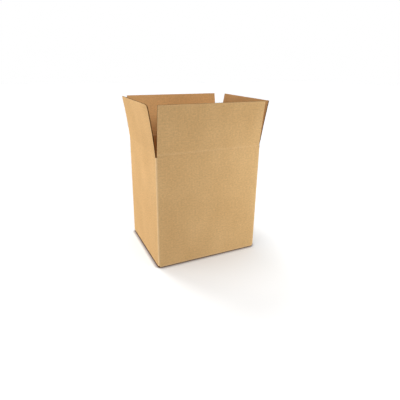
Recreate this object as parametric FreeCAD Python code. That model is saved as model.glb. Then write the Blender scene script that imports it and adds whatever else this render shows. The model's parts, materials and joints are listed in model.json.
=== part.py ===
"""Open corrugated shipping carton, a regular slotted container standing with its four top flaps up.

Millimetres, +Z up. The origin is the middle of the footprint on the surface that the carton stands on.
+X runs along the long walls and +Y from the front wall to the back wall.

The carton is one sheet of board: four walls, four bottom flaps that are folded shut, a lap that is
glued inside one corner, and four top flaps. Each top flap turns about its crease, so it is a solid of
its own. The outer bottom flaps meet at a seam that a strip of tape holds shut from below.
"""

import FreeCAD, Part
import math
import os
from dataclasses import dataclass

# Board and inside room
BOARD = 4.0
INNER_LENGTH = 500.0
INNER_WIDTH = 404.0
INNER_HEIGHT = 510.0

# Folds, slots and seams
FOLD_INNER_RADIUS = 1.0
LAYER_GAP = 0.3
CREASE_GAP = 0.3
SLOT_WIDTH = 7.0
SLOT_OVERRUN = 5.5
SEAM_GAP = 2.0

# Glue lap inside the back right corner
LAP_WIDTH = 35.0
LAP_TAPER = 9.0
LAP_CLEARANCE = 1.0
LAP_ROOT_RUN = 0.1
RAW_EDGE_SETBACK = 1.0

# Tape under the bottom seam
TAPE_WIDTH = 48.0
TAPE_THICKNESS = 0.1
TAPE_END_MARGIN = 2.0

# Outward lean of each top flap from upright
FRONT_LEAN_DEG = 7.0
RIGHT_LEAN_DEG = 10.0
BACK_LEAN_DEG = 11.0
LEFT_LEAN_DEG = 8.0

# Outside of the walls
HALF_LENGTH = INNER_LENGTH / 2 + BOARD
HALF_WIDTH = INNER_WIDTH / 2 + BOARD
FOLD_OUTER_RADIUS = FOLD_INNER_RADIUS + BOARD
LAYER = BOARD + LAYER_GAP

# Levels, from the floor up. The flaps of the short walls lie under those of the long walls, inside the
# carton, so their creases are one layer further in at the top and at the bottom.
OUTER_FLOOR = TAPE_THICKNESS
INNER_FLOOR = OUTER_FLOOR + LAYER
INSIDE_FLOOR = INNER_FLOOR + BOARD
SHORT_CREASE = INSIDE_FLOOR + INNER_HEIGHT + BOARD
LONG_CREASE = SHORT_CREASE + LAYER

# The slots run past the short walls' creases
SLOT_FOOT = INNER_FLOOR + SLOT_OVERRUN
SLOT_HEAD = SHORT_CREASE - SLOT_OVERRUN

# All flaps end on the straight cut edge of the sheet, so those of the short walls are one layer longer
LONG_WALL_FLAP = HALF_WIDTH - SEAM_GAP / 2
SHORT_WALL_FLAP = LONG_WALL_FLAP + LAYER

# Half the width of a flap, from the middle of its wall to the edge of the slot
LONG_WALL_REACH = HALF_LENGTH - BOARD / 2 - SLOT_WIDTH / 2
SHORT_WALL_REACH = HALF_WIDTH - BOARD / 2 - SLOT_WIDTH / 2

# Where the lap's fold has run out into its flat part
LAP_ROOT = HALF_WIDTH - FOLD_OUTER_RADIUS - LAP_ROOT_RUN


@dataclass(frozen=True)
class Side:
    """One wall with its flaps.

    A side is drawn as the front wall and then turned about Z. There, x runs along the wall, and the
    wall's outer face stands at y = -offset.
    """

    name: str
    turn: float
    offset: float
    low: float
    high: float
    floor: float
    crease: float
    flap: float
    lean: float


# The back wall carries the glue lap, which lies inside the right wall, so it is one board shorter there
SIDES = (
    Side("front", 0.0, HALF_WIDTH, -LONG_WALL_REACH, LONG_WALL_REACH,
         OUTER_FLOOR, LONG_CREASE, LONG_WALL_FLAP, FRONT_LEAN_DEG),
    Side("right", 90.0, HALF_LENGTH, -SHORT_WALL_REACH, SHORT_WALL_REACH,
         INNER_FLOOR, SHORT_CREASE, SHORT_WALL_FLAP, RIGHT_LEAN_DEG),
    Side("back", 180.0, HALF_WIDTH, BOARD - LONG_WALL_REACH, LONG_WALL_REACH,
         OUTER_FLOOR, LONG_CREASE, LONG_WALL_FLAP, BACK_LEAN_DEG),
    Side("left", 270.0, HALF_LENGTH, -SHORT_WALL_REACH, SHORT_WALL_REACH,
         INNER_FLOOR, SHORT_CREASE, SHORT_WALL_FLAP, LEFT_LEAN_DEG),
)

ORIGIN = FreeCAD.Vector(0, 0, 0)
UP = FreeCAD.Vector(0, 0, 1)
ALONG = FreeCAD.Vector(1, 0, 0)


def bent_board(points):
    """Face in the XY plane: a strip of board that follows points, its centreline, with round folds."""
    path = [FreeCAD.Vector(x, y, 0) for x, y in points]
    runs = [(b - a).normalize() for a, b in zip(path, path[1:])]
    sides = [UP.cross(run) for run in runs]
    mid_radius = FOLD_INNER_RADIUS + BOARD / 2

    def edge_line(shift):
        """Edges of one face of the board, shift to the left of the centreline."""
        edges = []
        start = path[0] + sides[0] * shift
        for corner, before, after, left, next_left in zip(path[1:], runs, runs[1:], sides, sides[1:]):
            bend = math.copysign(1, before.cross(after).z)
            centre = corner + (left + next_left) * (bend * mid_radius)
            radius = mid_radius - bend * shift
            fold_start = centre - left * (bend * radius)
            fold_end = centre - next_left * (bend * radius)
            fold_middle = centre - (left + next_left).normalize() * (bend * radius)
            edges.append(Part.makeLine(start, fold_start))
            edges.append(Part.Arc(fold_start, fold_middle, fold_end).toShape())
            start = fold_end
        edges.append(Part.makeLine(start, path[-1] + sides[-1] * shift))
        return edges

    left_edges = edge_line(BOARD / 2)
    right_edges = edge_line(-BOARD / 2)
    ends = [
        Part.makeLine(left_edges[0].Vertexes[0].Point, right_edges[0].Vertexes[0].Point),
        Part.makeLine(left_edges[-1].Vertexes[1].Point, right_edges[-1].Vertexes[1].Point),
    ]
    outline = Part.Wire(Part.__sortEdges__(left_edges + right_edges + ends))
    return Part.Face(outline)


def wall_profile(points, side):
    """Solid of a section through a side, drawn with y from the outer face inwards and z as height."""
    corners = [FreeCAD.Vector(side.low, inward - side.offset, height) for inward, height in points]
    face = Part.Face(Part.makePolygon(corners + corners[:1]))
    return face.extrude(ALONG * (side.high - side.low))


def turned(shape, side):
    """The shape of a side, turned from the front to its own place."""
    shape.rotate(ORIGIN, UP, side.turn)
    return shape


def wall_tube():
    """The four walls between the ends of the slots, closed at the corner where the lap is glued."""
    long_face = HALF_LENGTH - BOARD / 2
    wide_face = HALF_WIDTH - BOARD / 2
    lap_face = long_face - BOARD
    three_walls = bent_board([
        (long_face, HALF_WIDTH - RAW_EDGE_SETBACK), (long_face, -wide_face),
        (-long_face, -wide_face), (-long_face, wide_face), (0, wide_face),
    ])
    lap_corner = bent_board([(-BOARD, wide_face), (lap_face, wide_face), (lap_face, LAP_ROOT)])
    height = UP * (SLOT_HEAD - SLOT_FOOT)
    tube = three_walls.extrude(height).fuse(lap_corner.extrude(height))
    tube.translate(UP * SLOT_FOOT)
    return tube


def glue_lap():
    """The lap on the inside of the right wall, its ends cut at a slant."""
    fold_y = LAP_ROOT
    free_y = HALF_WIDTH - BOARD - LAP_WIDTH
    low = max(SLOT_FOOT, INSIDE_FLOOR + FOLD_INNER_RADIUS + LAP_CLEARANCE)
    high = min(SLOT_HEAD, SHORT_CREASE - BOARD - LAP_CLEARANCE)
    x = HALF_LENGTH - 2 * BOARD
    corners = [
        FreeCAD.Vector(x, fold_y, low), FreeCAD.Vector(x, fold_y, high),
        FreeCAD.Vector(x, free_y, high - LAP_TAPER), FreeCAD.Vector(x, free_y, low + LAP_TAPER),
    ]
    return Part.Face(Part.makePolygon(corners + corners[:1])).extrude(ALONG * BOARD)


def slot_room(side, low, high):
    """The stretch of wall between the slots at one end of the tube, which a fold takes the place of."""
    room = Part.makeBox(side.high - side.low, BOARD, high - low,
                        FreeCAD.Vector(side.low, -side.offset, low))
    return turned(room, side)


def wall_head(side, low):
    """Top of a wall from level low to its crease, mitred so that its flap can fold in."""
    crease = side.crease - CREASE_GAP / 2
    section = [(0, low), (BOARD, low), (BOARD, crease - BOARD), (0, crease)]
    return turned(wall_profile(section, side), side)


def bottom_flap(side, high):
    """Foot of a wall below level high, and the bottom flap that is folded in from it."""
    section = bent_board([
        (BOARD / 2, high), (BOARD / 2, side.floor + BOARD / 2), (side.flap, side.floor + BOARD / 2),
    ])
    section.rotate(ORIGIN, FreeCAD.Vector(1, 1, 1), 120)
    section.translate(FreeCAD.Vector(side.low, -side.offset, 0))
    return turned(section.extrude(ALONG * (side.high - side.low)), side)


def carton_body():
    """Walls, glue lap and closed bottom: all of the sheet but its top flaps, as one solid."""
    head = SLOT_HEAD - BOARD
    foot = SLOT_FOOT + FOLD_OUTER_RADIUS
    body = wall_tube()
    for side in SIDES:
        body = body.cut(slot_room(side, SLOT_FOOT, foot))
        body = body.cut(slot_room(side, head, SLOT_HEAD))
    pieces = [glue_lap()]
    for side in SIDES:
        pieces += [wall_head(side, head), bottom_flap(side, foot)]
    return body.multiFuse(pieces).removeSplitter()


def top_flap(side):
    """A top flap with its mitred root, leaning outwards about its crease."""
    root = side.crease + CREASE_GAP / 2
    tip = side.crease + side.flap
    section = [(0, root), (BOARD, root + BOARD), (BOARD, tip), (0, tip)]
    flap = wall_profile(section, side)
    flap.rotate(FreeCAD.Vector(0, -side.offset, side.crease), ALONG, side.lean)
    return turned(flap, side)


def bottom_tape():
    """Strip of tape along the seam of the outer bottom flaps."""
    half = HALF_LENGTH - FOLD_OUTER_RADIUS - TAPE_END_MARGIN
    corner = FreeCAD.Vector(-half, -TAPE_WIDTH / 2, OUTER_FLOOR - TAPE_THICKNESS)
    return Part.makeBox(2 * half, TAPE_WIDTH, TAPE_THICKNESS, corner)


def main():
    """Writes each node to its own file."""
    os.makedirs("parts", exist_ok=True)
    nodes = {"carton_body": carton_body(), "bottom_tape": bottom_tape()}
    for side in SIDES:
        nodes[side.name + "_flap"] = top_flap(side)
    for name, shape in nodes.items():
        shape.exportStep(os.path.join("parts", name + ".step"))
        print(name, "solids", len(shape.Solids), "valid", shape.isValid(), "mm3", round(shape.Volume))


main()
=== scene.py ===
"""Looks of an open corrugated carton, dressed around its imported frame.

Metres, +Z up, in the frame's own coordinates. A carton is a flat blank of board, cut, scored and
folded, and it is modelled that way: every board surface is a grid over the blank, carried into
place by a folding rule. u runs along the blank, once round the walls from the glue lap, v is
height, and tau is the distance off the board's middle, positive outwards.
"""

import json
import logging
import math
from collections.abc import Callable, Sequence
from dataclasses import dataclass, field
from enum import Enum

import bpy
import numpy as np
from mathutils import Matrix, Vector

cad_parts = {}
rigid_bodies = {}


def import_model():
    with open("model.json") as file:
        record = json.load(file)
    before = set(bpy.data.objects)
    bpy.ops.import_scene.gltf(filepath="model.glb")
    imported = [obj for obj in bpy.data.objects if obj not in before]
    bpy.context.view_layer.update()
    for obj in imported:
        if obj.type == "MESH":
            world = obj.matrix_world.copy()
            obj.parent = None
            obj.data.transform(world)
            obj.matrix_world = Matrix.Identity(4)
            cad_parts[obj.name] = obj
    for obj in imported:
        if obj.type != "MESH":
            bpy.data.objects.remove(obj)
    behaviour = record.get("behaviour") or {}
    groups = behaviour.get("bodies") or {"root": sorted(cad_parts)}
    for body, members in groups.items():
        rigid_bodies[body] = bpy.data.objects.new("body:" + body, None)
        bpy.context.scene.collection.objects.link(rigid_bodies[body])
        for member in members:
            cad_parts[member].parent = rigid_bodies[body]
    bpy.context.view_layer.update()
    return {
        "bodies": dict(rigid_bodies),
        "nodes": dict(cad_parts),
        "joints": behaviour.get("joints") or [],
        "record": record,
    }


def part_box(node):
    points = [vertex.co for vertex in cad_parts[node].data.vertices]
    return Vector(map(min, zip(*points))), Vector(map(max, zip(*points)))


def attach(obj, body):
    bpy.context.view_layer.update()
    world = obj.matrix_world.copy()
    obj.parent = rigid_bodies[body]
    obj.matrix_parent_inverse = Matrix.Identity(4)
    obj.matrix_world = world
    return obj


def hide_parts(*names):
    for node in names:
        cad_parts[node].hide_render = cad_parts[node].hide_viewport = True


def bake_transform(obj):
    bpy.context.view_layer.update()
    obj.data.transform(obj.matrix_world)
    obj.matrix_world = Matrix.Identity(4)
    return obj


LOG = logging.getLogger("carton")

Array = np.ndarray
BoardRule = Callable[[Array, Array, Array], Array]
Span = tuple[float, float]
Triple = tuple[float, float, float]
Colour = tuple[float, float, float, float]
Material = bpy.types.Material
NodeGroup = bpy.types.NodeTree
Socket = bpy.types.NodeSocket

QUARTER_TURN = math.pi / 2
FULL_TURN = 2 * math.pi
MERGE_DISTANCE = 1e-6
SMOOTH_ANGLE = math.radians(24)
RIM_REACH = 0.003
FAR_AWAY = 1.0
STEPS_PER_FLUTE = 12
NOISE_MIDDLE = 0.5


class Finish(Enum):
    """Material slots of a board piece, in the order in which its mesh holds them."""

    OUTER_LINER = 0
    INNER_LINER = 1
    RAW_EDGE = 2


class SlotName(Enum):
    """Material slots of the part's record."""

    BOARD = "kraft_board"
    TAPE = "buff_tape"


@dataclass(frozen=True)
class Board:
    """Single-wall corrugated board: a fluted medium between two liners.

    A raw edge shows the flutes cut_depth deep, and along them slant_near to slant_far deep.
    """

    thickness: float = 0.004
    liner: float = 0.00036
    medium: float = 0.00026
    flute_pitch: float = 0.0078
    fold_radius: float = 0.003
    cut_depth: float = 0.006
    slant_near: float = 0.0008
    slant_far: float = 0.0042

    @property
    def half(self) -> float:
        """Half of the thickness."""
        return self.thickness / 2

    @property
    def fold_length(self) -> float:
        """Length of a right-angled fold along the middle of the board."""
        return self.fold_radius * QUARTER_TURN

    @property
    def fold_reach(self) -> float:
        """Radius of a fold's outer face."""
        return self.fold_radius + self.half


@dataclass(frozen=True)
class Side:
    """One wall with its flaps, drawn as the front wall and turned into place.

    along runs along the wall from its middle, which is at middle on the blank, out is from its
    outer face, and height is above the floor. low and high are the ends of its flaps.
    """

    name: str
    turn: float
    offset: float
    crease: float
    lean: float
    low: float
    high: float
    flap: float
    floor: float
    middle: float
    half_width: float
    bulge: float

    def place(self, along: Array, out: Array, height: Array) -> Array:
        """Points in the frame: (along, -offset - out) turned about Z by the side's angle."""
        cos, sin, away = math.cos(self.turn), math.sin(self.turn), -self.offset - out
        return np.stack([cos * along - sin * away, sin * along + cos * away, height], axis=-1)

    def wall_bow(self, along: Array, height: Array) -> Array:
        """How far the wall stands out of true: a parabola across it times half a sine wave up."""
        across = np.clip(1 - (along / self.half_width) ** 2, 0, None)
        return self.bulge * across * np.sin(math.pi * np.clip(height / self.crease, 0, 1))


@dataclass
class Sheet:
    """A stretch of the blank as a grid.

    kept says of each cell whether it is board, and joined says of each cell's edge along u, line
    by line, whether the board goes on there in another piece.
    """

    u: Array
    v: Array
    kept: Array = field(init=False)
    joined: Array = field(init=False)

    def __post_init__(self) -> None:
        """Starts as a whole rectangle that goes on nowhere."""
        cells = len(self.u) - 1
        self.kept = np.ones((cells, len(self.v) - 1), bool)
        self.joined = np.zeros((cells, len(self.v)), bool)


@dataclass
class Surface:
    """Points of one closed shell with their place on the blank, and its faces."""

    points: Array
    blank: Array
    fold: Array
    rim: Array
    quads: Array
    finish: Array

    def outwards(self) -> "Surface":
        """Turns the faces round if the shell's signed volume, summed over corners, is negative.

        Returns:
            The shell itself.
        """
        a, b, c, d = (self.points[self.quads[:, k]] for k in range(4))
        volume = np.einsum("ij,ij->", a, np.cross(b, c)) + np.einsum("ij,ij->", a, np.cross(c, d))
        if volume < 0:
            self.quads = self.quads[:, ::-1]
        return self


def grid_lines(edges: Sequence[float], step: float, fold_step: float,
               margins: Sequence[float]) -> Array:
    """Lines of a grid: evenly spaced, with closer ones near both ends of a long interval.

    Args:
        edges: the lines that the grid must have, rising.
        step: largest spacing on a long interval.
        fold_step: largest spacing on a short interval, such as a fold.
        margins: distances of the close lines from an edge, rising.

    Returns:
        All lines, rising.
    """
    near = np.array(margins)
    parts = [np.array([edges[0]])]
    for a, b in zip(edges, edges[1:]):
        inner = b - a - 2 * near[-1]
        if inner > near[-1]:
            even = np.linspace(a + near[-1], b - near[-1], 1 + math.ceil(inner / step))
            parts += [a + near[:-1], even, b - near[-2::-1], np.array([b])]
        else:
            parts.append(np.linspace(a, b, 1 + math.ceil((b - a) / fold_step))[1:])
    return np.concatenate(parts)


def bent_path(distance: Array, runs: Sequence[Span], start: Span, heading: float) -> Array:
    """Points of a path of straight runs and arcs, which goes on at both its ends.

    A run that bends with curvature k goes sin(k s) / k forwards and (1 - cos(k s)) / k to its left.

    Args:
        distance: distances along the path.
        runs: length and curvature of each run, with curvature positive to the left.
        start: where the path begins.
        heading: direction in which it begins.

    Returns:
        Rows of the points' two coordinates and of the headings there.
    """
    x, y = start
    found = np.zeros((3, len(distance)))
    reached = 0.0
    for number, (length, curvature) in enumerate(runs):
        here = distance >= reached if number else np.ones_like(distance, bool)
        if number < len(runs) - 1:
            here &= distance < reached + length
        s = np.append(distance[here] - reached, length)
        forward = np.sin(curvature * s) / curvature if curvature else s
        left = (1 - np.cos(curvature * s)) / curvature if curvature else 0 * s
        run = np.stack([
            x + forward * math.cos(heading) - left * math.sin(heading),
            y + forward * math.sin(heading) + left * math.cos(heading),
            heading + curvature * s,
        ])
        found[:, here] = run[:, :-1]
        x, y, heading = run[:, -1]
        reached += length
    return found


def nearness(distance: Array, reach: float) -> Array:
    """A bell curve, exp(-(distance / reach)^2)."""
    return np.exp(-((distance / reach) ** 2))


def smooth_step(t: Array) -> Array:
    """The curve 3 t^2 - 2 t^3 between 0 and 1, flat beyond them."""
    t = np.clip(t, 0, 1)
    return t * t * (3 - 2 * t)


def board_surface(sheet: Sheet, shape: BoardRule, board: Board, fold_mask: BoardRule) -> Surface:
    """Closed shell of a stretch of board, with raw edges that can be seen into.

    The grid is laid down six times: both faces, and the four corner lines of the channel between
    the liners at a raw edge. There the channel's inner lines are drawn in from the edge, by the
    depth of the cut across the flutes, and on a slant along them.

    Args:
        sheet: the stretch of the blank.
        shape: the folding rule, to points.
        board: the board's make-up.
        fold_mask: how much a fold lightens the paper, by wear and a painted highlight, from 0 to 1.

    Returns:
        The shell.
    """
    padded = np.pad(sheet.kept, 1)
    upright = padded[:-1, 1:-1].astype(int) - padded[1:, 1:-1]
    level = padded[1:-1, :-1].astype(int) - padded[1:-1, 1:]
    raw_level = np.where(sheet.joined, 0, level)
    side_u = np.pad(-upright, ((0, 0), (1, 1)))
    side_v = np.pad(-raw_level, ((1, 1), (0, 0)))
    draw_u = np.clip(side_u[:, :-1] + side_u[:, 1:], -1, 1)
    draw_v = np.clip(side_v[:-1] + side_v[1:], -1, 1)

    grid_u, grid_v = np.meshgrid(sheet.u, sheet.v, indexing="ij")
    near, far, deep = board.slant_near, board.slant_far, board.cut_depth
    inner = board.half - board.liner
    offs = (board.half, inner, inner, -inner, -inner, -board.half)
    draws = ((0.0, 0.0), (0.0, 0.0), (near, deep), (far, deep), (0.0, 0.0), (0.0, 0.0))
    blanks = [np.stack([grid_u + draw_u * du, grid_v + draw_v * dv], axis=-1) for du, dv in draws]
    points = [shape(b[..., 0], b[..., 1], np.full_like(grid_u, off))
              for b, off in zip(blanks, offs)]

    count, layers = grid_u.size, len(offs)
    index = np.arange(count).reshape(grid_u.shape)
    corners = [index[:-1, :-1], index[1:, :-1], index[1:, 1:], index[:-1, 1:]]
    cell = np.stack(corners, axis=-1)[sheet.kept]
    along_v = np.stack([index[:, :-1], index[:, 1:]], axis=-1)
    along_u = np.stack([index[:-1], index[1:]], axis=-1)
    edges = np.concatenate([
        along_v[upright > 0], along_v[upright < 0][:, ::-1],
        along_u[level > 0][:, ::-1], along_u[level < 0],
    ])
    strip = np.hstack([edges[:, ::-1], edges + count])
    strips = [strip + k * count for k in range(layers - 1)]
    quads = np.concatenate([cell, cell[:, ::-1] + (layers - 1) * count, *strips])
    finish = np.full(len(quads), Finish.RAW_EDGE.value)
    finish[:len(cell)] = Finish.OUTER_LINER.value
    finish[len(cell):2 * len(cell)] = Finish.INNER_LINER.value

    blank = np.concatenate([b.reshape(-1, 2) for b in blanks])
    raw_edges = np.concatenate([along_v[upright != 0], along_u[raw_level != 0]])
    return Surface(
        points=np.concatenate([p.reshape(-1, 3) for p in points]),
        blank=blank,
        fold=fold_mask(blank[:, 0], blank[:, 1], np.repeat(offs, count)),
        rim=np.tile(rim_mask(grid_u, grid_v, raw_edges).ravel(), layers),
        quads=quads,
        finish=finish,
    ).outwards()


def rim_mask(grid_u: Array, grid_v: Array, edges: Array) -> Array:
    """How close each grid point is to a raw edge: 1 on it, fading over the lines beside it.

    Args:
        grid_u, grid_v: places of the grid points on the blank.
        edges: pairs of indices of the raw edges' points.

    Returns:
        Values from 0 to 1, in the grid's shape.
    """
    on_edge = np.isin(np.arange(grid_u.size), edges).reshape(grid_u.shape)
    mask = on_edge.astype(float)
    for axis, place in enumerate((grid_u, grid_v)):
        before = np.maximum.accumulate(np.where(on_edge, place, -np.inf), axis=axis)
        ahead = np.flip(np.where(on_edge, place, np.inf), axis)
        after = np.flip(np.minimum.accumulate(ahead, axis=axis), axis)
        gap = np.minimum(np.minimum(place - before, after - place), FAR_AWAY)
        mask = np.maximum(mask, nearness(gap, RIM_REACH))
    return mask


def flute_ribbon(board: Board, shape: BoardRule, along: Span, foot: float, head: float) -> Surface:
    """The fluted medium behind a raw edge: a ribbon that is A sin(2 pi u / pitch) off the middle.

    Args:
        board: the board's make-up.
        shape: the folding rule.
        along: where the ribbon begins and ends along the blank.
        foot, head: its inner and outer edge up the blank.

    Returns:
        A closed shell.
    """
    start, end = along
    swing = board.half - board.liner - board.medium / 2
    wave = FULL_TURN / board.flute_pitch
    u = np.linspace(start, end, 1 + math.ceil((end - start) / board.flute_pitch * STEPS_PER_FLUTE))
    off = swing * np.sin(wave * u)
    slope = swing * wave * np.cos(wave * u)
    length = np.hypot(1, slope)
    ring_off = np.array([1, 1, -1, -1]) * board.medium / 2
    ring_u = u[:, None] - (slope / length)[:, None] * ring_off
    ring_tau = off[:, None] + (1 / length)[:, None] * ring_off
    ring_v = np.broadcast_to(np.array([foot, head, head, foot]), ring_u.shape)
    points = shape(ring_u, ring_v, ring_tau).reshape(-1, 3)
    index = np.arange(ring_u.size).reshape(ring_u.shape)
    around = np.roll(index, -1, axis=1)
    tube = np.stack([index[:-1], index[1:], around[1:], around[:-1]], axis=-1).reshape(-1, 4)
    quads = np.concatenate([tube, index[:1], index[-1:, ::-1]])
    return Surface(
        points=points,
        blank=np.stack([ring_u.ravel(), ring_v.ravel()], axis=-1),
        fold=np.zeros(len(points)),
        rim=np.ones(len(points)),
        quads=quads,
        finish=np.full(len(quads), Finish.RAW_EDGE.value),
    ).outwards()


def link_new(name: str, data: bpy.types.ID) -> bpy.types.Object:
    """Makes an object and links it to the scene.

    Args:
        name: its name.
        data: its mesh, lamp or camera.

    Returns:
        The object, at the origin.
    """
    made = bpy.data.objects.new(name, data)
    bpy.context.scene.collection.objects.link(made)
    return made


def board_object(name: str, surfaces: Sequence[Surface],
                 materials: Sequence[Material]) -> bpy.types.Object:
    """One object of closed shells, with a UV map of the blank and the masks as attributes.

    Points that coincide become one, and a quad that this pinches becomes a triangle or goes.

    Args:
        name: the object's name.
        surfaces: the shells.
        materials: one for each finish.

    Returns:
        The object, linked to the scene.
    """
    firsts = np.cumsum([0] + [len(s.points) for s in surfaces[:-1]])
    points = np.concatenate([s.points for s in surfaces])
    quads = np.concatenate([s.quads + first for s, first in zip(surfaces, firsts)])
    finish = np.concatenate([s.finish for s in surfaces])
    shell = np.concatenate([np.full(len(s.points), k) for k, s in enumerate(surfaces)])
    key = np.column_stack([np.round(points / MERGE_DISTANCE).astype(np.int64), shell])
    _, first, merged = np.unique(key, axis=0, return_index=True, return_inverse=True)
    used, quads = np.unique(merged.reshape(-1)[quads], return_inverse=True)
    quads = quads.reshape(-1, 4)
    first = first[used]

    pinched = quads == np.roll(quads, -1, axis=1)
    whole = pinched.sum(axis=1) == 0
    thirds = pinched.sum(axis=1) == 1
    triangles = quads[thirds][~pinched[thirds]].reshape(-1, 3)
    corners = np.concatenate([quads[whole].ravel(), triangles.ravel()])

    mesh = bpy.data.meshes.new(name)
    mesh.from_pydata(points[first], [], [*quads[whole].tolist(), *triangles.tolist()])
    slots = np.concatenate([finish[whole], finish[thirds]])
    mesh.polygons.foreach_set("material_index", slots.astype(np.int32))
    mesh.shade_smooth()
    blank = np.concatenate([s.blank for s in surfaces])[first][corners]
    mesh.uv_layers.new(name="blank").data.foreach_set("uv", blank.astype(np.float32).ravel())
    for label in ("fold", "rim"):
        values = np.concatenate([getattr(s, label) for s in surfaces])[first].astype(np.float32)
        mesh.attributes.new(label, "FLOAT", "POINT").data.foreach_set("value", values)
    for material in materials:
        mesh.materials.append(material)
    mesh.validate()
    mesh.set_sharp_from_angle(angle=SMOOTH_ANGLE)
    return link_new(name, mesh)


def linear(*levels: int) -> Colour:
    """A colour as linear light, from red, green and blue as a screen shows them, 0 to 255."""
    shares = (level / 255 for level in levels)
    return (*(c / 12.92 if c <= 0.04045 else ((c + 0.055) / 1.055) ** 2.4 for c in shares), 1.0)


@dataclass(frozen=True)
class Noise:
    """A noise: features to the metre along each axis, octaves beyond the first, and their share."""

    stretch: Triple
    detail: float
    roughness: float


class Wiring:
    """Adds nodes to a tree and joins them up."""

    def __init__(self, tree: bpy.types.NodeTree) -> None:
        """Starts on a tree."""
        self.tree = tree

    def feed(self, node: bpy.types.Node, inputs: dict) -> None:
        """Fills a node's sockets.

        Args:
            node: the node.
            inputs: socket name or number to a plain value, or to the socket that feeds it.
        """
        for key, value in inputs.items():
            if isinstance(value, Socket):
                self.tree.links.new(value, node.inputs[key])
            else:
                node.inputs[key].default_value = value

    def node(self, kind: str, inputs: dict | None = None, **settings: object) -> bpy.types.Node:
        """Adds a node.

        Args:
            kind: the node's type name.
            inputs: what fills its sockets.
            settings: the node's own properties.

        Returns:
            The node.
        """
        made = self.tree.nodes.new(kind)
        for key, value in settings.items():
            setattr(made, key, value)
        self.feed(made, inputs or {})
        return made

    def math(self, operation: str, *values: object) -> Socket:
        """Result of a Math node over one, two or three values."""
        return self.node("ShaderNodeMath", dict(enumerate(values)), operation=operation).outputs[0]

    def noise(self, place: Socket, noise: Noise) -> Socket:
        """Noise over a place in metres that is first stretched.

        Args:
            place: the place.
            noise: the pattern.

        Returns:
            The noise, about 0.5.
        """
        inputs = {0: place, 1: noise.stretch}
        scaled = self.node("ShaderNodeVectorMath", inputs, operation="MULTIPLY").outputs[0]
        settings = {"Scale": 1.0, "Detail": noise.detail, "Roughness": noise.roughness}
        return self.node("ShaderNodeTexNoise", {"Vector": scaled, **settings}).outputs["Fac"]

    def spread(self, value: Socket, low: float, high: float, to_low: float = 0.0,
               to_high: float = 1.0) -> Socket:
        """A value carried from one range to another, held at its ends."""
        ends = {"From Min": low, "From Max": high, "To Min": to_low, "To Max": to_high}
        return self.node("ShaderNodeMapRange", {"Value": value, **ends}).outputs["Result"]

    def mix(self, share: object, first: object, second: object) -> Socket:
        """Colour between two, by a share. The node's colour sockets are numbers 6, 7 and 2."""
        inputs = {0: share, 6: first, 7: second}
        return self.node("ShaderNodeMix", inputs, data_type="RGBA").outputs[2]

    def scale(self, colour: Socket, tone: Socket) -> Socket:
        """A colour times a tone."""
        inputs = {0: colour, "Scale": tone}
        return self.node("ShaderNodeVectorMath", inputs, operation="SCALE").outputs[0]

    def bump(self, height: Socket, depth: float, under: Socket | None = None) -> Socket:
        """Normal of a relief, laid over another relief's normal if one is given."""
        laid = {} if under is None else {"Normal": under}
        return self.node("ShaderNodeBump", {"Height": height, "Distance": depth, **laid}).outputs[0]

    def attribute(self, name: str) -> Socket:
        """One of the piece's own masks."""
        return self.node("ShaderNodeAttribute", attribute_name=name).outputs["Fac"]

    def blank(self) -> Socket:
        """The place on the blank, in metres."""
        return self.node("ShaderNodeUVMap", uv_map="blank").outputs[0]


class GroupWiring(Wiring):
    """Wiring of a new shader node group, with its inputs and its output node at hand."""

    def __init__(self, name: str, numbers: dict[str, float], outputs: Sequence[str]) -> None:
        """Makes the group, with a place called Blank as its first input.

        Args:
            name: the group's name.
            numbers: names and default values of its other inputs.
            outputs: names of its outputs, which are numbers.
        """
        super().__init__(bpy.data.node_groups.new(name, "ShaderNodeTree"))
        new = self.tree.interface.new_socket
        new(name="Blank", in_out="INPUT", socket_type="NodeSocketVector")
        for label, value in numbers.items():
            new(name=label, in_out="INPUT", socket_type="NodeSocketFloat").default_value = value
        for label in outputs:
            new(name=label, in_out="OUTPUT", socket_type="NodeSocketFloat")
        self.inputs = self.node("NodeGroupInput").outputs
        self.result = self.node("NodeGroupOutput")


def new_material(name: str) -> tuple[Material, Wiring, bpy.types.Node]:
    """Makes a material.

    Args:
        name: the material's name.

    Returns:
        The material, its wiring and its Principled shader.
    """
    material = bpy.data.materials.new(name)
    material.use_nodes = True
    return material, Wiring(material.node_tree), material.node_tree.nodes["Principled BSDF"]


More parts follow.
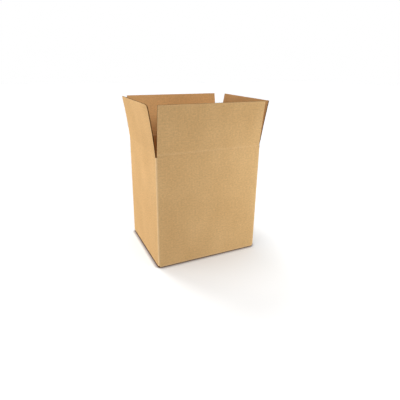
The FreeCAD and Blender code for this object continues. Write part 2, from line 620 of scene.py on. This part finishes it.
@dataclass(frozen=True)
class PaperGrain:
    """Make-up of paper, as one node group: cloudy tone, mottling, long fibres, sparse flecks."""

    cloud: Noise = Noise((11.0, 8.0, 1.0), 3.0, 0.55)
    mottle: Noise = Noise((105.0, 150.0, 1.0), 3.0, 0.6)
    fibre: Noise = Noise((420.0, 3600.0, 1.0), 2.0, 0.6)
    fleck: Noise = Noise((560.0, 2300.0, 1.0), 1.0, 0.5)
    cloud_tone: float = 0.10
    mottle_tone: float = 0.58
    fibre_tone: float = 0.30
    fleck_tone: float = 0.16
    fleck_range: Span = (0.66, 0.76)

    def build(self) -> NodeGroup:
        """Makes the group: Blank and Strength in, Tone about 1 and Height from 0 to 1 out.

        Returns:
            The group.
        """
        w = GroupWiring("paper_grain", {"Strength": 1.0}, ["Tone", "Height"])
        blank = w.inputs["Blank"]
        cloud, mottle, fibre = (w.noise(blank, n) for n in (self.cloud, self.mottle, self.fibre))
        fleck = w.spread(w.noise(blank, self.fleck), *self.fleck_range)
        tones = (self.cloud_tone, self.mottle_tone, self.fibre_tone)
        tone: object = 0.0
        for layer, share in zip((cloud, mottle, fibre), tones):
            tone = w.math("MULTIPLY_ADD", w.math("SUBTRACT", layer, NOISE_MIDDLE), share, tone)
        tone = w.math("MULTIPLY_ADD", fleck, -self.fleck_tone, tone)
        w.feed(w.result, {
            "Tone": w.math("MULTIPLY_ADD", tone, w.inputs["Strength"], 1.0),
            "Height": w.math("MULTIPLY", w.math("ADD", fibre, mottle), 0.5),
        })
        return w.tree


@dataclass(frozen=True)
class Scuffing:
    """Wear that breaks up a mask into scuffed patches, as one node group."""

    patches: Noise = Noise((150.0, 90.0, 1.0), 4.0, 0.65)
    bare_range: Span = (0.30, 0.62)

    def build(self) -> NodeGroup:
        """Makes the group: Blank and Mask in, Worn from 0 to 1 out.

        Returns:
            The group.
        """
        w = GroupWiring("scuffing", {"Mask": 0.0}, ["Worn"])
        broken = w.spread(w.noise(w.inputs["Blank"], self.patches), *self.bare_range)
        w.feed(w.result, {"Worn": w.math("MULTIPLY", w.inputs["Mask"], broken)})
        return w.tree


@dataclass(frozen=True)
class KraftLiner:
    """A liner of the board: kraft with grain, faint fluting, scuffed rims, and folds lightened by
    wear and a painted highlight.
    """

    grain: NodeGroup
    scuffing: NodeGroup
    flute_pitch: float
    name: str = "outer_liner"
    base: Colour = linear(218, 178, 124)
    deep: Colour = linear(209, 168, 114)
    # Pale colour of scuffed liner, also painted along the folds as their highlight.
    rubbed_and_highlight: Colour = linear(236, 204, 158)
    blotch: Noise = Noise((5.2, 3.4, 1.0), 4.0, 0.6)
    blotch_range: Span = (0.34, 0.66)
    roughness: Span = (0.74, 0.88)
    roughness_range: Span = (0.3, 0.7)
    specular: float = 0.32
    flute_tone: float = 0.018
    flute_depth: float = 0.00006
    grain_depth: float = 0.00005
    crumple: Noise = Noise((330.0, 330.0, 1.0), 3.0, 0.6)
    crumple_depth: float = 0.00022
    # Shares of the pale colour: in scuffed patches, unbroken along folds as wear and painted
    # highlight, and at rims.
    rub: float = 0.8
    bare: float = 0.6
    rim_rub: float = 0.35

    def build(self) -> Material:
        """Makes the material.

        Returns:
            The material.
        """
        material, w, shader = new_material(self.name)
        blank, fold, rim = w.blank(), w.attribute("fold"), w.attribute("rim")
        grain = w.node("ShaderNodeGroup", {"Blank": blank}, node_tree=self.grain).outputs
        mask = w.math("MAXIMUM", fold, w.math("MULTIPLY", rim, self.rim_rub))
        wear = w.node("ShaderNodeGroup", {"Blank": blank, "Mask": mask}, node_tree=self.scuffing)

        along = w.node("ShaderNodeSeparateXYZ", {0: blank}).outputs[0]
        flute = w.math("SINE", w.math("MULTIPLY", along, FULL_TURN / self.flute_pitch))
        patch = w.spread(w.noise(blank, self.blotch), *self.blotch_range)
        tone = w.math("MULTIPLY_ADD", flute, self.flute_tone, grain["Tone"])
        paper = w.scale(w.mix(patch, self.base, self.deep), tone)
        # Folds are lightened towards the pale colour: scuffed wear, and a painted highlight along
        # the folds.
        rubbed_and_highlight = w.math("MULTIPLY", wear.outputs["Worn"], self.rub)
        worn_and_highlight = w.math("MAXIMUM", rubbed_and_highlight, w.math("MULTIPLY", fold, self.bare))

        creased = w.math("MULTIPLY", w.noise(blank, self.crumple), fold)
        relief = w.bump(creased, self.crumple_depth, w.bump(flute, self.flute_depth / 2))
        w.feed(shader, {
            "Base Color": w.mix(worn_and_highlight, paper, self.rubbed_and_highlight),
            "Roughness": w.spread(grain["Height"], *self.roughness_range, *self.roughness),
            "Specular IOR Level": self.specular,
            "Normal": w.bump(grain["Height"], self.grain_depth, relief),
        })
        return material


@dataclass(frozen=True)
class RawEdge:
    """Cut paper inside the board and at its rims: rougher, greyer and darker than the liner."""

    grain: NodeGroup
    base: Colour = linear(150, 105, 60)
    deep: Colour = linear(104, 65, 30)
    fray: Noise = Noise((900.0, 900.0, 1.0), 3.0, 0.6)
    fray_range: Span = (0.36, 0.64)
    grain_strength: float = 1.4
    roughness: float = 0.92
    specular: float = 0.2
    depth: float = 0.00012

    def build(self) -> Material:
        """Makes the material.

        Returns:
            The material.
        """
        material, w, shader = new_material("raw_edge")
        place = w.node("ShaderNodeTexCoord").outputs["Object"]
        inputs = {"Blank": place, "Strength": self.grain_strength}
        grain = w.node("ShaderNodeGroup", inputs, node_tree=self.grain)
        fray = w.noise(place, self.fray)
        paper = w.mix(w.spread(fray, *self.fray_range), self.base, self.deep)
        w.feed(shader, {
            "Base Color": w.scale(paper, grain.outputs["Tone"]),
            "Roughness": self.roughness,
            "Specular IOR Level": self.specular,
            "Normal": w.bump(fray, self.depth),
        })
        return material


@dataclass(frozen=True)
class BuffTape:
    """Brown packing tape: a glossy film over its adhesive, with trapped air and scuffed places."""

    scuffing: NodeGroup
    stuck: Colour = linear(168, 124, 74)
    lifted: Colour = linear(190, 150, 98)
    ripple: Noise = Noise((26.0, 120.0, 1.0), 3.0, 0.55)
    air_range: Span = (0.54, 0.64)
    gloss: float = 0.24
    dull: float = 0.5
    coat: float = 0.35
    depth: float = 0.0002

    def build(self) -> Material:
        """Makes the material.

        Returns:
            The material.
        """
        material, w, shader = new_material("buff_tape")
        place = w.blank()
        ripple = w.noise(place, self.ripple)
        wear = w.node("ShaderNodeGroup", {"Blank": place, "Mask": 1.0}, node_tree=self.scuffing)
        w.feed(shader, {
            "Base Color": w.mix(w.spread(ripple, *self.air_range), self.stuck, self.lifted),
            "Roughness": w.spread(wear.outputs["Worn"], 0.0, 1.0, self.gloss, self.dull),
            "Coat Weight": self.coat,
            "Coat Roughness": self.gloss,
            "Normal": w.bump(ripple, self.depth),
        })
        return material


@dataclass
class Carton:
    """The blank as it is folded: its sides, its plan and the levels of its folds and slots."""

    frame: dict
    board: Board = field(default_factory=Board)
    slot_overrun: float = 0.0055
    layer_gap: float = 0.0003
    lap_width: float = 0.035
    lap_taper: float = 0.009
    raw_edge_setback: float = 0.001
    bulges: tuple[float, ...] = (0.0012, 0.0008, 0.0010, -0.0009)
    grid_step: float = 0.022
    fold_step: float = 0.0008
    edge_margins: tuple[float, ...] = (0.0012, 0.003, 0.006, 0.012)

    def __post_init__(self) -> None:
        """Works out the plan and the sides from the frame's joints, one for each top flap."""
        self.hinges = {joint["name"].split("_")[0]: joint for joint in self.frame["joints"]}
        self.reach = {name: math.hypot(*j["pos_m"][:2]) for name, j in self.hinges.items()}
        self.draw_plan()
        self.draw_sides()

    def draw_plan(self) -> None:
        """Works out the walls' path: the lap inside the back right corner, then four walls."""
        board = self.board
        half_length, half_width = self.reach["right"], self.reach["front"]
        thick, outer = board.thickness, board.fold_reach
        self.lap_run = self.lap_width - (outer - thick)
        walls = (
            2 * half_length - thick - 2 * outer, 2 * (half_width - outer),
            2 * (half_length - outer), 2 * half_width - outer - self.raw_edge_setback,
        )
        self.runs = [(self.lap_run, 0.0)]
        for wall in walls:
            self.runs += [(board.fold_length, 1 / board.fold_radius), (wall, 0.0)]
        # The lap is the second layer in, so its middle lies one and a half boards deep.
        self.plan_start = (half_length - 1.5 * thick, half_width - thick - self.lap_width)
        starts = np.cumsum([0.0] + [length for length, _ in self.runs])
        spans = list(zip(starts, starts[1:]))
        self.fold_spans, self.wall_spans = spans[1::2], spans[2::2]
        self.length = float(starts[-1])

    def draw_sides(self) -> None:
        """Works out the sides, in their order along the blank, and the ends of their slots."""
        thick = self.board.thickness
        body_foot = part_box("carton_body")[0].z
        layer = thick + self.layer_gap
        long, short = self.reach["right"], self.reach["front"]
        plan = (("back", 2, long, thick), ("left", 3, short, 0.0),
                ("front", 0, long, 0.0), ("right", 1, short, 0.0))
        self.sides = []
        for row, bulge, (start, _) in zip(plan, self.bulges, self.wall_spans):
            name, quarters, half, inset = row
            joint = self.hinges[name]
            crease = joint["pos_m"][2]
            turn = quarters * QUARTER_TURN
            lean = -math.radians(joint["range_deg"][0]) - QUARTER_TURN
            low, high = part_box(f"{name}_flap")
            ends = sorted(c.x * math.cos(turn) + c.y * math.sin(turn) for c in (low, high))
            self.sides.append(Side(
                name=name, turn=turn, offset=self.reach[name], crease=crease, lean=lean,
                low=ends[0], high=ends[1],
                flap=(high.z - crease - thick * math.sin(lean)) / math.cos(lean),
                floor=body_foot + (layer if name in ("left", "right") else 0.0),
                middle=start + (half - inset - self.board.fold_reach),
                half_width=half, bulge=bulge,
            ))
        self.slot_head = min(side.crease for side in self.sides) - self.slot_overrun
        self.slot_foot = body_foot + layer + self.slot_overrun

    def side(self, name: str) -> Side:
        """The side of that name."""
        return next(side for side in self.sides if side.name == name)

    def lines(self, edges: Sequence[float]) -> Array:
        """Grid lines through those edges, at the carton's spacings."""
        return grid_lines(sorted(edges), self.grid_step, self.fold_step, self.edge_margins)

    def foot_runs(self, side: Side) -> list[Span]:
        """Runs of a side's board from the feet of its slots to the end of its bottom flap.

        Args:
            side: the side.

        Returns:
            Length and curvature of each run.
        """
        board = self.board
        return [
            (self.slot_foot - side.floor - board.fold_reach, 0.0),
            (board.fold_length, 1 / board.fold_radius),
            (side.flap - board.fold_reach, 0.0),
        ]


@dataclass
class WallsAndBase:
    """Four walls, glue lap and four closed bottom flaps, one folded sheet."""

    carton: Carton
    name: str = "walls_and_base"
    # Reach of the folds' lightening, which is wear and a painted highlight of the fold's rounding.
    fold_glow: float = 0.0042
    ribbon_margin: float = 0.0044
    flap_lift: float = 0.0022

    def shape(self, u: Array, v: Array, tau: Array) -> Array:
        """Folding rule of the sheet.

        Above the slots' feet a point is out from the plan's path by its distance off the middle.
        Below them it follows its own side's flap. The lap narrows towards its free edge.

        Args:
            u, v: place on the blank.
            tau: distance off the board's middle.

        Returns:
            The points.
        """
        form = u.shape
        u, v, tau = (a.ravel() for a in (u, v, tau))
        carton = self.carton
        x, y, heading = bent_path(u, carton.runs, carton.plan_start, QUARTER_TURN)
        middle = (carton.slot_head + carton.slot_foot) / 2
        half = (carton.slot_head - carton.slot_foot) / 2
        share = np.clip(1 - u / carton.lap_run, 0, 1)
        height = middle + (v - middle) * (1 - share * carton.lap_taper / half)
        out = tau.copy()
        for side in carton.sides:
            on_wall = np.abs(u - side.middle) < side.half_width
            on_wall &= u >= carton.wall_spans[0][0]
            out += np.where(on_wall, side.wall_bow(u - side.middle, height), 0.0)
        points = np.stack([x + out * np.sin(heading), y - out * np.cos(heading), height], axis=-1)
        below = v < carton.slot_foot
        for side in carton.sides:
            along = u - side.middle
            here = below & (along > side.low - self.ribbon_margin)
            here &= along < side.high + self.ribbon_margin
            points[here] = self.flap_shape(side, along[here], carton.slot_foot - v[here], tau[here])
        return points.reshape(*form, 3)

    def flap_shape(self, side: Side, along: Array, down: Array, tau: Array) -> Array:
        """Points of a bottom flap: down the wall, round its fold, and in along the bottom.

        An upper flap rises a little to its free edge, as the cube of the way along it.

        Args:
            side: the flap's side.
            along: distances along the wall.
            down: distances down the board from the slots' feet.
            tau: distances off the board's middle.

        Returns:
            The points.
        """
        carton = self.carton
        start = (carton.board.half, carton.slot_foot)
        inward, height, heading = bent_path(down, carton.foot_runs(side), start, -QUARTER_TURN)
        inward = inward + tau * np.sin(heading)
        height = height - tau * np.cos(heading)
        if side.floor > min(s.floor for s in carton.sides):
            height = height + self.flap_lift * np.clip(inward / side.flap, 0, 1) ** 3
        return side.place(along, side.wall_bow(along, height) - inward, height)

    def fold_mask(self, u: Array, v: Array, tau: Array) -> Array:
        """How close the outer face is to a fold, by bell curves about the folds' middles.

        It marks the folds' wear and their painted highlight.

        Args:
            u, v: place on the blank.
            tau: distance off the board's middle.

        Returns:
            Shares from 0 to 1.
        """
        carton = self.carton
        mask = np.zeros_like(u)
        for low, high in carton.fold_spans:
            mask = np.maximum(mask, nearness(u - (low + high) / 2, self.fold_glow))
        mask *= v >= carton.slot_foot - carton.board.fold_length
        for side in carton.sides:
            runs = carton.foot_runs(side)
            centre = carton.slot_foot - runs[0][0] - runs[1][0] / 2
            here = np.abs(u - side.middle) < side.high
            mask = np.maximum(mask, here * nearness(v - centre, self.fold_glow))
        return mask * (tau > 0)

    def build(self, materials: Sequence[Material]) -> bpy.types.Object:
        """Makes the piece and joins it to the frame.

        Args:
            materials: one for each finish.

        Returns:
            The piece.
        """
        carton, board = self.carton, self.carton.board
        head, foot = carton.slot_head, carton.slot_foot
        spans = [(side.middle + side.low, side.middle + side.high) for side in carton.sides]
        u = carton.lines([0.0, carton.length, *(e for s in spans + carton.fold_spans for e in s)])
        falls = [np.cumsum([run for run, _ in carton.foot_runs(side)]) for side in carton.sides]
        flap_end = foot - max(fall[-1] for fall in falls)
        fold_end = foot - max(fall[1] for fall in falls)
        v = carton.lines([flap_end, fold_end, foot, head])
        middle_u, middle_v = (u[1:] + u[:-1]) / 2, (v[1:] + v[:-1]) / 2
        on_flap = np.any([(middle_u > low) & (middle_u < high) for low, high in spans], axis=0)
        sheet = Sheet(u, v)
        sheet.kept = (middle_v[None, :] > foot) | on_flap[:, None]
        sheet.joined[on_flap, -1] = True
        surfaces = [board_surface(sheet, self.shape, board, self.fold_mask)]

        gap_starts = [board.slant_far, *(high for _, high in spans)]
        gap_ends = [*(low for low, _ in spans), carton.length - board.slant_far]
        for gap in zip(gap_starts, gap_ends):
            for inner, edge in ((head - board.cut_depth, head), (foot + board.cut_depth, foot)):
                surfaces.append(flute_ribbon(board, self.shape, gap, inner, edge))
        for low, high in spans:
            along = (low + self.ribbon_margin, high - self.ribbon_margin)
            inner = flap_end + board.cut_depth
            surfaces.append(flute_ribbon(board, self.shape, along, inner, flap_end))
        piece = board_object(self.name, surfaces, materials)
        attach(piece, "carton")
        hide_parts("carton_body")
        return piece


@dataclass
class TopFlap:
    """A top flap with its crease and the stretch of wall above the slots' ends."""

    carton: Carton
    side: Side
    curl: float
    curl_dip: float = 0.3
    blunt: float = 0.0
    blunt_reach: float = 0.013
    hinge_reach: float = 0.0043
    ridge: float = 0.0014
    ridge_reach: float = 0.0055
    ridge_drop: float = 0.0015
    moat: float = 0.6
    moat_rise: float = 0.0095
    groove: float = 0.50
    groove_reach: float = 0.0042
    bead: float = 0.60
    bead_reach: float = 0.0018
    # Lightening along the crease, by wear and a painted highlight of its bead: reach, and share on
    # the outer face.
    bead_glow: float = 0.0038
    outer_wear: float = 0.18
    ribbon_margin: float = 0.0044

    def creased(self, rise: Array, tau: Array) -> Array:
        """Relief of the crease, by bell curves of height.

        The outer face has a low ridge with a moat above it, the inner one a groove with a bead.

        Args:
            rise: heights above the crease, up the board.
            tau: distances off the board's middle.

        Returns:
            New distances off the middle.
        """
        ridge = nearness(rise + self.ridge_drop, self.ridge_reach)
        moat = self.moat * nearness(rise - self.moat_rise, self.ridge_reach)
        groove = self.groove * nearness(rise, self.groove_reach)
        bead = self.bead * nearness(rise, self.bead_reach)
        return np.where(tau > 0, tau + self.ridge * (ridge - moat), tau * (1 - groove + bead))

    def shape(self, u: Array, v: Array, tau: Array) -> Array:
        """Folding rule of the flap.

        Above the crease it is turned out about the outer face's line, by a smooth step of height,
        and curls by half a sine wave, less so in its middle. A bell curve about the upper corner
        of its high end presses that corner blunt.

        Args:
            u, v: place on the blank.
            tau: distance off the board's middle.

        Returns:
            The points.
        """
        side, board = self.side, self.carton.board
        along = u - side.middle
        corner = np.hypot(along - side.high, v - side.crease - side.flap)
        pressed = self.blunt * nearness(corner, self.blunt_reach)
        along, v = along - pressed, v - pressed
        rise = v - side.crease
        out = self.creased(rise, tau) - board.half + side.wall_bow(along, v)
        way = np.clip(rise / side.flap, 0, 1)
        width = (side.high - side.low) / 2
        middle = (side.high + side.low) / 2
        across = 1 - ((along - middle) / width) ** 2
        out = out + self.curl * np.sin(math.pi * way) * (1 - self.curl_dip * across)
        turned = side.lean * smooth_step((rise + self.hinge_reach) / (2 * self.hinge_reach))
        cos, sin = np.cos(turned), np.sin(turned)
        return side.place(along, out * cos + rise * sin, side.crease - out * sin + rise * cos)

    def fold_mask(self, u: Array, v: Array, tau: Array) -> Array:
        """How close a point is to the crease, from 0 to 1, and less on the outer face: wear and a
        painted highlight of the crease's bead.
        """
        strength = np.where(tau > 0, self.outer_wear, 1.0)
        return strength * nearness(v - self.side.crease, self.bead_glow) + 0 * u

    def build(self, materials: Sequence[Material]) -> bpy.types.Object:
        """Makes the piece, with its transform applied, and hides the frame's flap.

        Args:
            materials: one for each finish.

        Returns:
            The piece.
        """
        carton, side, board = self.carton, self.side, self.carton.board
        below, above = side.crease - self.hinge_reach, side.crease + self.hinge_reach
        tip = side.crease + side.flap
        sheet = Sheet(
            carton.lines([side.middle + side.low, side.middle + side.high]),
            carton.lines([carton.slot_head, below, side.crease, above, tip]),
        )
        sheet.joined[:, 0] = True
        along = (sheet.u[0] + self.ribbon_margin, sheet.u[-1] - self.ribbon_margin)
        surfaces = [
            board_surface(sheet, self.shape, board, self.fold_mask),
            flute_ribbon(board, self.shape, along, tip - board.cut_depth, tip),
        ]
        piece = board_object(f"{side.name}_top_flap", surfaces, materials)
        start, end = side.place(np.zeros(2), np.zeros(2), np.array([below, above]))
        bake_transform(piece)
        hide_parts(f"{side.name}_flap")
        return piece


@dataclass
class SeamTape:
    """Tape under the bottom seam, with the saw-toothed ends that its dispenser leaves."""

    name: str = "seam_tape"
    tooth_pitch: float = 0.0016
    tooth_depth: float = 0.0009
    end_reach: float = 0.004
    end_margin: float = 0.0005
    dip: float = 0.0003
    dip_reach: float = 0.0007
    step: float = 0.012

    def shape(self, u: Array, v: Array, tau: Array) -> Array:
        """Laying rule of the tape under the base.

        Its ends are a triangle wave across the tape, and it sinks into the seam by a bell curve.

        Args:
            u, v: place along and across the tape.
            tau: distance off the film's middle, positive downwards.

        Returns:
            The points.
        """
        low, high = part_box("bottom_tape")
        tooth = np.abs((v / self.tooth_pitch) % 1 - 0.5) * 2 * self.tooth_depth
        end = np.clip((np.abs(u) - high.x + self.end_reach) / self.end_reach, 0, 1)
        height = (low.z + high.z) / 2 - tau + self.dip * nearness(v, self.dip_reach)
        return np.stack([u - np.sign(u) * tooth * end, v, height], axis=-1)

    def build(self, material: Material) -> bpy.types.Object:
        """Makes the piece and joins it to the frame.

        Args:
            material: the tape's material.

        Returns:
            The piece.
        """
        low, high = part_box("bottom_tape")
        thickness = high.z - low.z
        film = Board(thickness=thickness, liner=thickness / 2, cut_depth=0.0,
                     slant_near=0.0, slant_far=0.0)
        margins = (self.end_margin, self.end_reach)
        teeth = round((high.y - low.y) / self.tooth_pitch)
        sheet = Sheet(grid_lines([low.x, high.x], self.step, self.step, margins),
                      np.linspace(low.y, high.y, 2 * teeth + 1))
        surface = board_surface(sheet, self.shape, film, lambda u, v, tau: np.zeros_like(u))
        surface.finish[:] = 0
        piece = board_object(self.name, [surface], [material])
        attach(piece, "carton")
        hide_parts("bottom_tape")
        return piece


def direction(azimuth: float, height: float) -> Vector:
    """Direction towards a point in the sky.

    Args:
        azimuth: degrees round from the front, with 90 on the right.
        height: degrees up.

    Returns:
        A vector of length 1.
    """
    azimuth, height = math.radians(azimuth), math.radians(height)
    level = math.cos(height)
    return Vector((math.sin(azimuth) * level, -math.cos(azimuth) * level, math.sin(height)))


def hang_lamp(data: bpy.types.Light, towards: Vector) -> bpy.types.Object:
    """Puts a lamp in the scene.

    Args:
        data: its light.
        towards: direction from what it lights to the lamp.

    Returns:
        The lamp.
    """
    lamp = link_new(data.name, data)
    lamp.rotation_mode = "QUATERNION"
    lamp.rotation_quaternion = towards.to_track_quat("Z", "Y")
    return lamp


@dataclass(frozen=True)
class SoftBox:
    """A lamp with a broad face, in metres and watts."""

    name: str
    place: Triple
    width: float
    height: float
    power: float
    tint: Triple

    def build(self, aim: Triple) -> None:
        """Makes the lamp.

        Args:
            aim: the point that it faces.
        """
        data = bpy.data.lights.new(self.name, "AREA")
        data.shape = "RECTANGLE"
        data.size, data.size_y = self.width, self.height
        data.energy = self.power
        data.color = self.tint
        lamp = hang_lamp(data, Vector(self.place) - Vector(aim))
        lamp.location = self.place
        lamp.visible_camera = False


@dataclass(frozen=True)
class Sun:
    """A lamp that lights the whole room evenly, with its angles in degrees and power in W/m2."""

    name: str
    azimuth: float
    height: float
    softness: float
    power: float

    def build(self) -> None:
        """Makes the lamp."""
        data = bpy.data.lights.new(self.name, "SUN")
        data.energy = self.power
        data.angle = math.radians(self.softness)
        hang_lamp(data, direction(self.azimuth, self.height))


@dataclass(frozen=True)
class Studio:
    """White room with soft light, mostly from the left, and the camera. Angles are in degrees."""

    floor_size: float = 30.0
    floor_level: float = -0.0003
    floor_colour: Colour = linear(222, 222, 222)
    floor_roughness: float = 0.9
    bounce_colour: Colour = linear(145, 145, 145)
    lift: float = 0.545
    lift_tint: Colour = (0.97, 0.98, 1.0, 1.0)
    # Within this reach the glow is dimmed by occlusion: a painted soft shade round the carton.
    lift_shade_reach: float = 0.35
    # Close occlusion paints a dark brown contact shadow into the floor's colour at the carton's
    # foot.
    contact_shadow_reach: float = 0.026
    contact_shadow_range: Span = (0.40, 0.90)
    contact_shadow_colour: Colour = linear(92, 50, 18)
    sky_side: float = 0.22
    sky_top: float = 0.10
    sky_colour: Colour = (1.0, 1.0, 1.0, 1.0)
    suns: tuple[Sun, ...] = (
        Sun("back_sun", azimuth=-166, height=50, softness=26, power=1.58),
        Sun("front_sun", azimuth=-9, height=20, softness=18, power=1.47),
    )
    boxes: tuple[SoftBox, ...] = (
        SoftBox("key", (-2.1, 0.35, 0.46), 1.5, 0.9, power=30.9, tint=(1.0, 0.96, 0.90)),
        SoftBox("fill", (0.80, -0.86, 0.36), 0.4, 0.4, power=4.0, tint=(0.97, 1.0, 0.97)),
    )
    aim: Triple = (0.0298, 0.0, 0.3193)
    distance: float = 1.7369
    azimuth: float = -25.24
    elevation: float = 18.826
    roll: float = 0.739
    focal_pixels: float = 340.8
    shift_pixels: Span = (3.0, -19.6)
    frame_pixels: float = 400.0
    sensor: float = 36.0

    def build_camera(self) -> None:
        """Makes the camera, on a sphere about its aim, turned to it and rolled."""
        away = direction(self.azimuth, self.elevation)
        turn = away.to_track_quat("Z", "Y").to_matrix().to_4x4()
        roll = Matrix.Rotation(math.radians(self.roll), 4, "Z")
        data = bpy.data.cameras.new("camera")
        data.sensor_width = self.sensor
        data.lens = self.focal_pixels / self.frame_pixels * self.sensor
        data.shift_x, data.shift_y = (pixels / self.frame_pixels for pixels in self.shift_pixels)
        camera = link_new("camera", data)
        place = Matrix.Translation(Vector(self.aim) + away * self.distance)
        camera.matrix_world = place @ (turn @ roll)
        bpy.context.scene.camera = camera

    def build_floor(self) -> None:
        """Makes the floor: pale, lifted to white for the camera by a glow where no shadow falls.

        The glow is dimmed by ambient occlusion, which paints a soft shade round the carton, and the
        close occlusion paints a dark brown contact shadow line into the floor's colour at the
        carton's foot. Other rays than the camera's meet a darker floor, so that it throws little
        light back.
        """
        half, level = self.floor_size / 2, self.floor_level
        corners = [(x * half, y * half, level) for x, y in ((-1, -1), (1, -1), (1, 1), (-1, 1))]
        mesh = bpy.data.meshes.new("floor")
        mesh.from_pydata(corners, [], [(0, 1, 2, 3)])
        material, w, shader = new_material("floor")
        mesh.materials.append(material)
        seen = w.node("ShaderNodeLightPath").outputs["Is Camera Ray"]
        open_sky, near_sky = (
            w.node("ShaderNodeAmbientOcclusion", {"Distance": reach}).outputs["AO"]
            for reach in (self.lift_shade_reach, self.contact_shadow_reach)
        )
        # Where close occlusion is strong, the floor's colour turns to the painted contact shadow
        # colour.
        free = w.spread(near_sky, *self.contact_shadow_range)
        pale = w.mix(seen, self.bounce_colour, self.floor_colour)
        # The glow is dimmed by occlusion, which paints a soft shade round the carton.
        lift = w.math("MULTIPLY", w.math("MULTIPLY", open_sky, free), self.lift)
        w.feed(shader, {
            "Base Color": w.mix(free, self.contact_shadow_colour, pale),
            "Roughness": self.floor_roughness,
            "Specular IOR Level": 0.0,
            "Emission Color": self.lift_tint,
            "Emission Strength": w.math("MULTIPLY", lift, seen),
        })
        link_new("floor", mesh)

    def build_sky(self) -> None:
        """Makes the world: even light, and plain white where it is seen or mirrored."""
        world = bpy.data.worlds.new("room")
        world.use_nodes = True
        w = Wiring(world.node_tree)
        path = w.node("ShaderNodeLightPath").outputs
        mirrored = w.math("MAXIMUM", path["Is Glossy Ray"], path["Is Transmission Ray"])
        seen = w.math("MAXIMUM", path["Is Camera Ray"], mirrored)
        towards = w.node("ShaderNodeTexCoord").outputs["Generated"]
        up = w.node("ShaderNodeSeparateXYZ", {0: towards}).outputs["Z"]
        sky = w.spread(up, 0.0, 1.0, self.sky_side, self.sky_top)
        background = world.node_tree.nodes["Background"]
        w.feed(background, {"Color": self.sky_colour, "Strength": w.math("MAXIMUM", seen, sky)})
        bpy.context.scene.world = world

    def build(self) -> None:
        """Makes the whole room."""
        self.build_floor()
        self.build_sky()
        for sun in self.suns:
            sun.build()
        for box in self.boxes:
            box.build(self.aim)
        self.build_camera()
        bpy.context.scene.view_settings.view_transform = "Standard"


def main() -> None:
    """Builds the carton's pieces and the room, and reports each piece."""
    logging.basicConfig(level=logging.INFO, format="%(name)s: %(message)s")
    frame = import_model()
    carton = Carton(frame)
    grain, scuffing = PaperGrain().build(), Scuffing().build()
    pitch = carton.board.flute_pitch
    outer = KraftLiner(grain, scuffing, pitch)
    # The inner liner lightens its folds fully and paler: wear and the painted highlight of the
    # crease's bead.
    inner = KraftLiner(
        grain, scuffing, pitch, name="inner_liner", base=linear(220, 172, 115),
        deep=linear(211, 162, 105), rubbed_and_highlight=linear(244, 202, 148), bare=1.0,
    )
    finishes = [outer.build(), inner.build(), RawEdge(grain).build()]

    left = {"curl": -0.0022, "blunt": 0.004, "ridge": 0.0005, "outer_wear": 0.06}
    flaps = [
        TopFlap(carton, carton.side("front"), curl=-0.0006),
        TopFlap(carton, carton.side("right"), curl=-0.0010),
        TopFlap(carton, carton.side("back"), curl=0.0012),
        TopFlap(carton, carton.side("left"), **left),
    ]
    pieces = [WallsAndBase(carton).build(finishes)]
    pieces += [flap.build(finishes) for flap in flaps]
    pieces.append(SeamTape().build(BuffTape(scuffing).build()))
    for piece in pieces:
        LOG.info("%s: %d faces", piece.name, len(piece.data.polygons))
    Studio().build()


if __name__ == "__main__":
    main()
